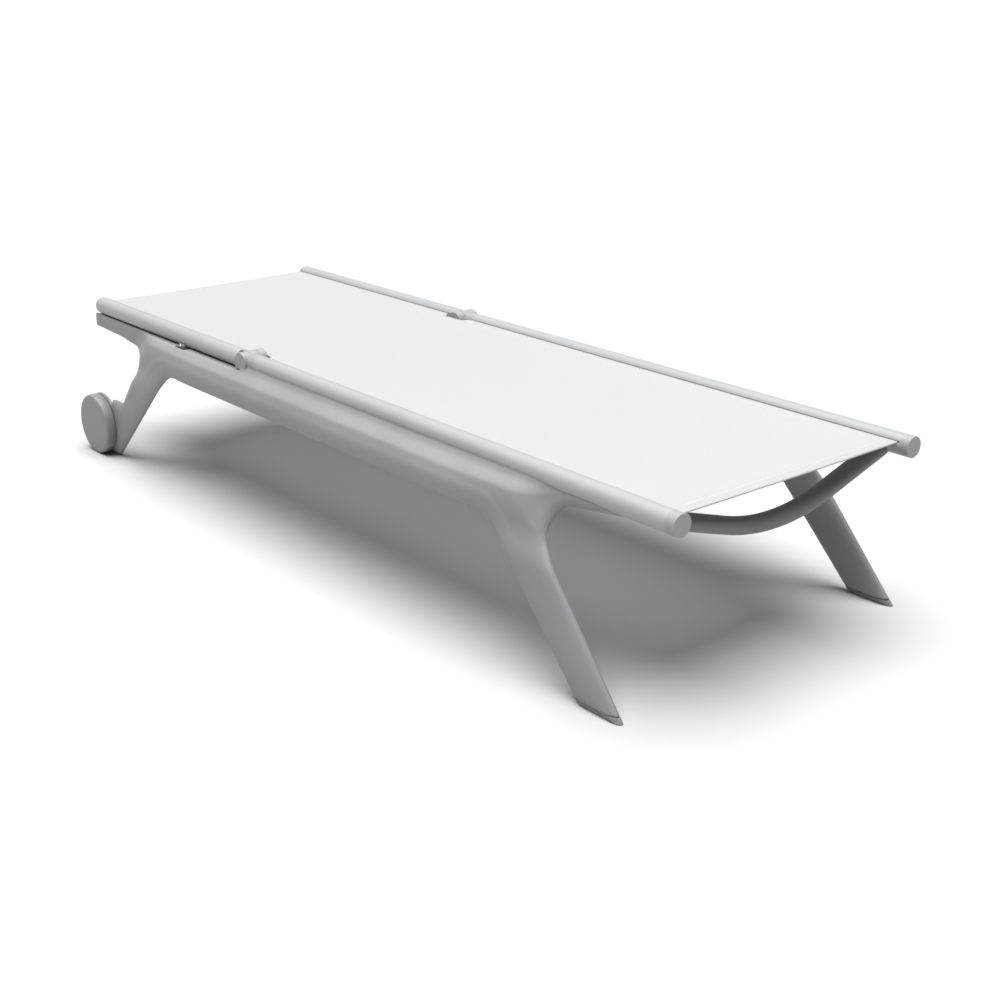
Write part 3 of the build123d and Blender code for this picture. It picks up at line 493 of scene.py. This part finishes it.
def walls_at(x, z):
    """Places across of the outer and inner wall; and 1 on the band, 0 where flush."""
    away = to_outline(BAND, x, z) + BAND_TOP - RIDGE
    ends = np.maximum(ease((WEB_FROM - x) / WEB_OVER), ease((x - LENGTH + WEB_FROM) / WEB_OVER))
    slow = 1 + (STRETCH - 1) * ends
    height = RIDGE + np.minimum(away, 0) + np.maximum(away, 0) / slow
    outer = wall_at(OUTER_WALL, z)
    outer = outer + (lesser(outer, wall_at(OUTER_WALL, height), WEB_BLEND) - outer) * ends
    out = np.clip((outer - RAIL_MID - FLUSH) / (WIDEST - FLUSH), 0, 1)
    thick = WEB_THICK + (2 * BLADE_HALF - WEB_THICK) * out
    inner = wall_at(INNER_WALL, z)
    inner = inner + (np.minimum(outer - thick, inner) - inner) * ends
    return outer, inner, out * ends + (1 - ends)


def side_outline(x, z):
    """Distance to the side view, with the round end behind the wheel."""
    ear = np.hypot(x - AXLE_AT, z - AXLE_UP) - EAR_R
    ear = np.maximum(ear, REAR_TIP - z)
    return join(to_outline(SIDE_VIEW, x, z), ear, EAR_FILLET)


def moulding(x, y, z, outline):
    """Distance to the inflated side view: a curved wall with rounded edges."""
    outer, inner, out = walls_at(x, z)
    leg = ease((BEAM_UNDER + 4 - z) / LEG_FADE)
    ahead = ease((x - LENGTH / 2) / AHEAD_FADE)
    lean = np.maximum(BEAM_UNDER - z, 0) * LEG_LEAN * ahead
    thin = EAR_THIN * ease((EAR_EDGE_AT - x) / 16) * ease((z - 20) / 20)
    leg_half = BLADE_HALF + (LEG_HALF - BLADE_HALF) * ahead - thin
    leg_mid = RAIL_MID + BLADE_AT + thin + lean
    half = (outer - inner) / 2 * (1 - leg) + leg_half * leg
    mid = (outer + inner) / 2 * (1 - leg) + leg_mid * leg
    flat_rim = HORN_RIM + (ARM_RIM - HORN_RIM) * ahead
    leg_rim = REAR_RIM + (FRONT_RIM - REAR_RIM) * ahead
    rim = BEAM_RIM + (leg_rim - BEAM_RIM) * leg
    rim = flat_rim + (rim - flat_rim) * out
    return blade(outline, y - mid, rim, half)


def side_frame(x, y, z):
    """Distance to the moulded side frame, for places x from the head end."""
    body = moulding(x, y, z, side_outline(x, z))
    top = np.where(x < HINGE_AT, z - LIP, z - RAIL_UP - 0.5)
    rear_half = 60 * (x < LENGTH / 2)     # keeps the rear tip clear of the sole's cut
    body = meet(body, np.maximum(top, GLIDE_TOP + SEAM_GAP - z - rear_half), EDGE)
    back = np.hypot(y - RAIL_MID, z - RAIL_UP) - RAIL_RADIUS - BACK_ROOM
    back = meet(back, x - HINGE_AT, 0.1)
    barrel = np.hypot(x - HINGE_AT, z - RAIL_UP) - BARREL_CUT
    barrel = np.maximum(barrel, y - BARREL_CUT_OUT)
    lug = np.maximum(np.abs(x - PIVOT_AT - LUG_AT) - LUG_HALF, np.abs(z - LUG_UP) - LUG_TALL)
    lug = np.maximum(lug, y - LUG_OUT)
    cut = np.minimum(back, np.minimum(barrel, lug))
    return meet(body, -cut, EDGE)


def glide(x, y, z):
    """Distance to the sole under the front leg."""
    sole = moulding(x, y, z, to_outline(SIDE_VIEW, x, z))
    return meet(sole, np.maximum(z - GLIDE_TOP + SEAM_GAP, -z), EDGE)


CORNERS = np.array([(i, j, k) for i in (0, 1) for j in (0, 1) for k in (0, 1)])
EDGES = [
    (a, b) for a in range(8) for b in range(a + 1, 8)
    if np.abs(CORNERS[a] - CORNERS[b]).sum() == 1
]


def skin(distance, low, high, step):
    """Quads around the zero level of a distance, their corners pulled onto it."""
    axes = [np.arange(a, b + step, step) for a, b in zip(low, high)]
    grid = distance(axes[0][:, None, None], axes[1][None, :, None], axes[2][None, None, :])
    grid = np.broadcast_to(grid, [len(a) for a in axes])
    solid = grid < 0
    shape = [n - 1 for n in grid.shape]
    count = sum(
        solid[i:i + shape[0], j:j + shape[1], k:k + shape[2]].astype(int)
        for i, j, k in CORNERS
    )
    cells = np.argwhere((count > 0) & (count < 8))
    number = np.full(shape, -1)
    number[tuple(cells.T)] = np.arange(len(cells))
    values = np.stack([grid[tuple((cells + c).T)] for c in CORNERS], axis=1)
    total = np.zeros((len(cells), 3))
    hits = np.zeros((len(cells), 1))
    for a, b in EDGES:
        crossed = (values[:, a] < 0) != (values[:, b] < 0)
        share = np.where(crossed, values[:, a] / (values[:, a] - values[:, b] + 1e-12), 0)
        total += crossed[:, None] * (CORNERS[a] + share[:, None] * (CORNERS[b] - CORNERS[a]))
        hits += crossed[:, None]
    points = (cells + total / hits) * step + np.array(low, float)
    quads = []
    for axis in range(3):
        u, v = [a for a in range(3) if a != axis]
        ahead = np.take(solid, range(1, solid.shape[axis]), axis)
        here = np.take(solid, range(solid.shape[axis] - 1), axis)
        starts = np.argwhere(ahead != here)
        keep = (starts[:, u] > 0) & (starts[:, v] > 0)
        keep &= (starts[:, u] < shape[u]) & (starts[:, v] < shape[v])
        starts = starts[keep]
        ring = []
        for du, dv in ((0, 0), (1, 0), (1, 1), (0, 1)):
            cell = starts.copy()
            cell[:, u] -= du
            cell[:, v] -= dv
            ring.append(number[tuple(cell.T)])
        quads.append(np.stack(ring, axis=1))
    quads = np.concatenate(quads)
    quads = quads[(quads >= 0).all(axis=1)]
    for _ in range(3):
        points -= pull(distance, points, 0.4 * step)
    return points, quads


def pull(distance, points, limit):
    """Step from each point to the surface, no longer than the limit."""
    small = 0.05
    here = distance(*points.T)
    slope = np.stack(
        [
            distance(*(points + small * np.eye(3)[axis]).T) - here
            for axis in range(3)
        ],
        axis=1,
    ) / small
    size = (slope ** 2).sum(axis=1) + 1e-9
    step = (here / size)[:, None] * slope
    length = np.linalg.norm(step, axis=1) + 1e-12
    return step * np.minimum(1, limit / length)[:, None]


def placed(points, side):
    """Millimetres from the head end to the frame, on one side of the lounger."""
    return points * [MM, side * MM, MM] + [HEAD_X, 0, 0]


FRAME_STEP = 3.5           # spacing of the mesh
SOLE_STEP = 1.6
frame_skin = skin(
    side_frame, (-8, RAIL_MID - 16, -6), (LENGTH - 60, RAIL_MID + 88, RAIL_UP + 10),
    FRAME_STEP,
)
glide_skin = skin(
    glide, (LENGTH - 175, RAIL_MID + 36, -4), (LENGTH - 36, RAIL_MID + 84, GLIDE_TOP + 4),
    SOLE_STEP,
)
for side, sign in SIDES:
    for name, source, (points, faces), material in (
        ("moulded_frame", "side_frame", frame_skin, POLYPROPYLENE),
        ("glide_sole", "front_glide", glide_skin, RUBBER),
    ):
        made = mesh_object(f"{name}_{side}", placed(points, sign), faces, material)
        stands_for(made, f"{source}_{side}")


# ---- crossbars end inside the side frames' walls ------------------------------------
BAR_HALF = (RAIL_MID + 46) * MM   # half a crossbar's length


def shortened(name, source):
    """A crossbar whose ends stop short of the side frames' outer walls."""
    work = bmesh.new()
    work.from_mesh(frame["nodes"][source].data)
    bmesh.ops.remove_doubles(work, verts=work.verts, dist=1e-6)
    for sign in (1, -1):
        bmesh.ops.bisect_plane(
            work, geom=work.verts[:] + work.edges[:] + work.faces[:],
            plane_co=(0, sign * BAR_HALF, 0), plane_no=(0, sign, 0), clear_outer=True,
        )
    bmesh.ops.holes_fill(work, edges=[edge for edge in work.edges if edge.is_boundary])
    mesh = bpy.data.meshes.new(name)
    work.to_mesh(mesh)
    work.free()
    # darker grey: painted shade for the crossbars under the seat
    mesh.materials.append(BAR_PAINTED_SHADE_PLASTIC)
    return linked(name, mesh)


for bar in ("rear_crossbar", "middle_crossbar"):
    stands_for(shortened(f"moulded_{bar}", bar), bar)

# ---- wheels -------------------------------------------------------------------------
WHEEL_R = (span("wheel_left", 0)[1] - span("wheel_left", 0)[0]) / 2 / MM
WHEEL_IN, WHEEL_OUT = (place / MM for place in span("wheel_left", 1))
WHEEL_EDGE = 6.0           # round of the tread's outer edge
WHEEL_WALL = 3.0
AROUND = 120               # faces around a turned shape


def wheel_profile():
    """Radius and place across of the wheel's shell: face, round edge, tread, inside."""
    face = [(0, WHEEL_OUT), (20, WHEEL_OUT), (48, WHEEL_OUT - 0.1)]
    edge = [
        (WHEEL_R - WHEEL_EDGE * (1 - sin(t)), WHEEL_OUT - 0.3 - WHEEL_EDGE * (1 - cos(t)))
        for t in np.linspace(0, pi / 2, 9)
    ]
    tread = [(WHEEL_R, WHEEL_IN + 1.2), (WHEEL_R - 1.2, WHEEL_IN)]
    inside = [
        (WHEEL_R - WHEEL_WALL, WHEEL_IN), (WHEEL_R - WHEEL_WALL, WHEEL_OUT - WHEEL_EDGE - 2),
        (WHEEL_R - WHEEL_WALL - 4, WHEEL_OUT - WHEEL_WALL - 1), (0, WHEEL_OUT - WHEEL_WALL - 1),
    ]
    return face + edge + tread + inside


def turned(profile):
    """A shape turned about the wheel's axle, from radius and place across."""
    points, faces = [], []
    for radius, across in profile:
        for k in range(AROUND):
            turn = 2 * pi * k / AROUND
            points.append((radius * cos(turn) + AXLE_AT, across, radius * sin(turn) + AXLE_UP))
    for i in range(len(profile) - 1):
        for k in range(AROUND):
            a, b = i * AROUND + k, i * AROUND + (k + 1) % AROUND
            faces.append((a, b, b + AROUND, a + AROUND))
    return np.array(points), faces


for side, sign in SIDES:
    points, faces = turned(wheel_profile())
    made = mesh_object(f"moulded_wheel_{side}", placed(points, sign), faces, WHEEL_PLASTIC)
    stands_for(made, f"wheel_{side}")

# ---- hinge cheeks -------------------------------------------------------------------
CHEEK_R = 21.5
CHEEK_FOOT = 16.0          # below the recline axis
CHEEK_OUT = 317.6          # outer face, from the lounger's middle
CHEEK_EDGE = 1.6           # its rounded edge


def cheek_outline(inset):
    """Round-topped plate, drawn in from its edge."""
    radius = CHEEK_R - inset
    top = [(radius * cos(t), radius * sin(t)) for t in np.linspace(0, pi, 33)]
    return top + [(-radius, -CHEEK_FOOT + inset), (radius, -CHEEK_FOOT + inset)]


def cheek():
    """Points and faces of the plate: back, side, soft edge, face."""
    rings = [(0, RAIL_MID + 14)] + [
        (CHEEK_EDGE * (1 - cos(t)), CHEEK_OUT - CHEEK_EDGE * (1 - sin(t)))
        for t in np.linspace(0, pi / 2, 5)
    ]
    points, faces = [], []
    for inset, across in rings:
        points += [(u + HINGE_AT, across, v + RAIL_UP) for u, v in cheek_outline(inset)]
    count = len(points) // len(rings)
    for i in range(len(rings) - 1):
        for k in range(count):
            a, b = i * count + k, i * count + (k + 1) % count
            faces.append((a, b, b + count, a + count))
    last = len(points) - count
    faces += [tuple(range(count)), tuple(range(last, last + count))]
    return np.array(points), faces


for side, sign in SIDES:
    points, faces = cheek()
    made = mesh_object(
        f"hinge_cheek_{side}", placed(points, sign), faces, CAP_PLASTIC, smooth=False
    )
    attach(made, "frame")

# ---- sling ------------------------------------------------------------------------
CLOTH = 1.1 * MM           # thickness
HEM = 28 * MM              # width of the folded hem
HEM_LOOP = 1.4 * MM        # half the distance between the hem's two layers
SAG = 3.0 * MM             # at the middle of a stretched sling
HINGE_EDGE = span("pin_caps", 1)[1] - 3.4 * MM


def half_width(x):
    """Half the sling's width: into the rails' slots, and narrower beside the hinges."""
    near = abs(x - HINGE_X)
    narrow = 26 * MM
    blend = min(max((near - narrow) / (22 * MM), 0), 1)
    blend = blend * blend * (3 - 2 * blend)
    return HINGE_EDGE + (SLING_HALF - 1 * MM - HINGE_EDGE) * blend


def sag_at(x, y):
    """How far the cloth hangs below its tight line."""
    share = 1 - (y / SLING_HALF) ** 2
    along = min(x - SLING_HEAD, SLING_FOOT - x) / (200 * MM)
    return SAG * max(share, 0) * min(1, 0.25 + max(along, 0))


def build_sling():
    """One mesh cloth from hem to hem, stretched between the rails."""
    head = [(SLING_HEAD + HEM * (1 - t), -2 * HEM_LOOP) for t in np.linspace(0, 0.94, 5)]
    turn = np.linspace(radians(-90), radians(-270), 7)
    bend = [(SLING_HEAD + HEM_LOOP * (1 + cos(t)), HEM_LOOP * (sin(t) - 1)) for t in turn]
    coarse = np.arange(SLING_HEAD + 8 * MM, SLING_FOOT - 8 * MM, 12 * MM)
    fine = np.arange(HINGE_X - 60 * MM, HINGE_X + 60 * MM, 3 * MM)
    xs = np.unique(np.round(np.concatenate([coarse, fine]), 4))
    top = [(x, 0.0) for x in xs]
    foot = [(SLING_HEAD + SLING_FOOT - x, z) for x, z in reversed(head + bend)]
    path = head + bend + top + foot
    rows = 61
    points, faces = [], []
    for x, z in path:
        wide = half_width(x)
        for y in np.linspace(-wide, wide, rows):
            points.append((x, y, SLING_Z + z - sag_at(x, y)))
    for i in range(len(path) - 1):
        for j in range(rows - 1):
            a = i * rows + j
            faces.append((a, a + 1, a + rows + 1, a + rows))
    made = mesh_object("mesh_sling", points, faces, MESH_CLOTH)
    thick = made.modifiers.new("cloth", "SOLIDIFY")
    thick.thickness = CLOTH
    thick.offset = 0
    baked(made)
    made.data.shade_smooth()
    return made, path


STITCH_PITCH = 4.0 * MM
STITCH_LENGTH = 3.0 * MM
THREAD_T = 0.7 * MM
STITCH_IN = 22.0 * MM      # seam to the hem's fold
SEAM_MARGIN = 14.0 * MM    # seam's end to the cloth's side


def stitches_tree():
    """Geometry nodes: one short raised stitch after another along a line."""
    tree = bpy.data.node_groups.new("hem_stitches", "GeometryNodeTree")
    for title, kind in (
        ("Geometry", "NodeSocketGeometry"), ("Pitch", "NodeSocketFloat"),
        ("Length", "NodeSocketFloat"), ("Thread", "NodeSocketFloat"),
    ):
        tree.interface.new_socket(title, in_out="INPUT", socket_type=kind)
    tree.interface.new_socket("Geometry", in_out="OUTPUT", socket_type="NodeSocketGeometry")
    given = node(tree, "NodeGroupInput").outputs
    line = node(tree, "GeometryNodeMeshToCurve", {"Mesh": given["Geometry"]})
    places = node(
        tree, "GeometryNodeCurveToPoints",
        {"Curve": line.outputs["Curve"], "Length": given["Pitch"]}, mode="LENGTH",
    )
    bead = node(tree, "GeometryNodeMeshUVSphere", Segments=6, Rings=4, Radius=0.5)
    size = node(
        tree, "ShaderNodeCombineXYZ",
        {"X": given["Thread"], "Y": given["Thread"], "Z": given["Length"]},
    )
    laid = node(
        tree, "GeometryNodeInstanceOnPoints",
        {
            "Points": places.outputs["Points"], "Instance": bead.outputs["Mesh"],
            "Rotation": places.outputs["Rotation"], "Scale": size.outputs["Vector"],
        },
    )
    real = node(tree, "GeometryNodeRealizeInstances", {"Geometry": laid.outputs["Instances"]})
    finish = node(tree, "GeometryNodeSetMaterial", {"Geometry": real.outputs["Geometry"]})
    finish.inputs["Material"].default_value = THREAD
    node(tree, "NodeGroupOutput", {"Geometry": finish.outputs["Geometry"]})
    return tree


STITCHES = stitches_tree()


def seam(name, x, body):
    """A row of stitches across the cloth, riding on one body."""
    wide = half_width(x) - SEAM_MARGIN
    ys = np.linspace(-wide, wide, 60)
    line = bpy.data.meshes.new(name)
    line.from_pydata(
        [(x, y, SLING_Z + CLOTH / 2 - sag_at(x, y)) for y in ys],
        [(i, i + 1) for i in range(len(ys) - 1)], [],
    )
    made = linked(name, line)
    made.modifiers.new("stitches", "NODES").node_group = STITCHES
    sizes = {"Pitch": STITCH_PITCH, "Length": STITCH_LENGTH, "Thread": THREAD_T}
    for item in STITCHES.interface.items_tree:
        if item.in_out == "INPUT" and item.name in sizes:
            made.modifiers[0][item.identifier] = sizes[item.name]
    baked(made)
    made.data.shade_smooth()
    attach(made, body)
    return made


seams = [
    seam("head_hem_stitches", SLING_HEAD + STITCH_IN, "backrest"),
    seam("foot_hem_stitches", SLING_FOOT - STITCH_IN, "frame"),
]
sling, sling_places = build_sling()
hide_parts("seat_sling", "back_sling")
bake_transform(sling)

# ---- floor, light and camera --------------------------------------------------------
floor_mesh = bpy.data.meshes.new("studio_floor")
REACH = 60                 # half the floor's width, past what the camera sees
floor_mesh.from_pydata(
    [(-REACH, -REACH, 0), (REACH, -REACH, 0), (REACH, REACH, 0), (-REACH, REACH, 0)],
    [], [(0, 1, 2, 3)],
)
floor = linked("studio_floor", floor_mesh)
floor_paint, _, _ = finish_named("matt_white_floor", "#B9B9B9", 1.0, Specular_IOR_Level=0.0)
floor_mesh.materials.append(floor_paint)

overhead = bpy.data.lights.new("overhead_softbox", "SUN")
overhead.energy = 6.6
overhead.angle = radians(60)
linked("overhead_softbox", overhead).rotation_euler = (radians(2), radians(-2), 0)

fill = bpy.data.lights.new("floor_fill", "AREA")
fill.shape = "RECTANGLE"
fill.size, fill.size_y = 1.7, 0.44
fill.energy = 0.8
fill_lamp = linked("floor_fill", fill)
fill_lamp.location = (0, 0, 0.14)
fill_lamp.visible_camera = False

world = bpy.data.worlds.new("studio")
world.use_nodes = True
world.node_tree.nodes["Background"].inputs["Color"].default_value = (1, 1, 1, 1)
world.node_tree.nodes["Background"].inputs["Strength"].default_value = 0.1
bpy.context.scene.world = world
bpy.context.scene.view_settings.view_transform = "Standard"
bpy.context.scene.view_settings.look = "None"

lens = bpy.data.cameras.new("three_quarter_view")
lens.lens = 53.48
lens.sensor_width = 36
CAMERA_DOWN = 20.368       # degrees below level
CAMERA_TURN = 139.957      # degrees from +X
camera = linked("three_quarter_view", lens)
camera.location = (2.40895, -1.85694, 1.16437)
camera.rotation_euler = (radians(90 - CAMERA_DOWN), 0, radians(CAMERA_TURN - 90))
bpy.context.scene.camera = camera
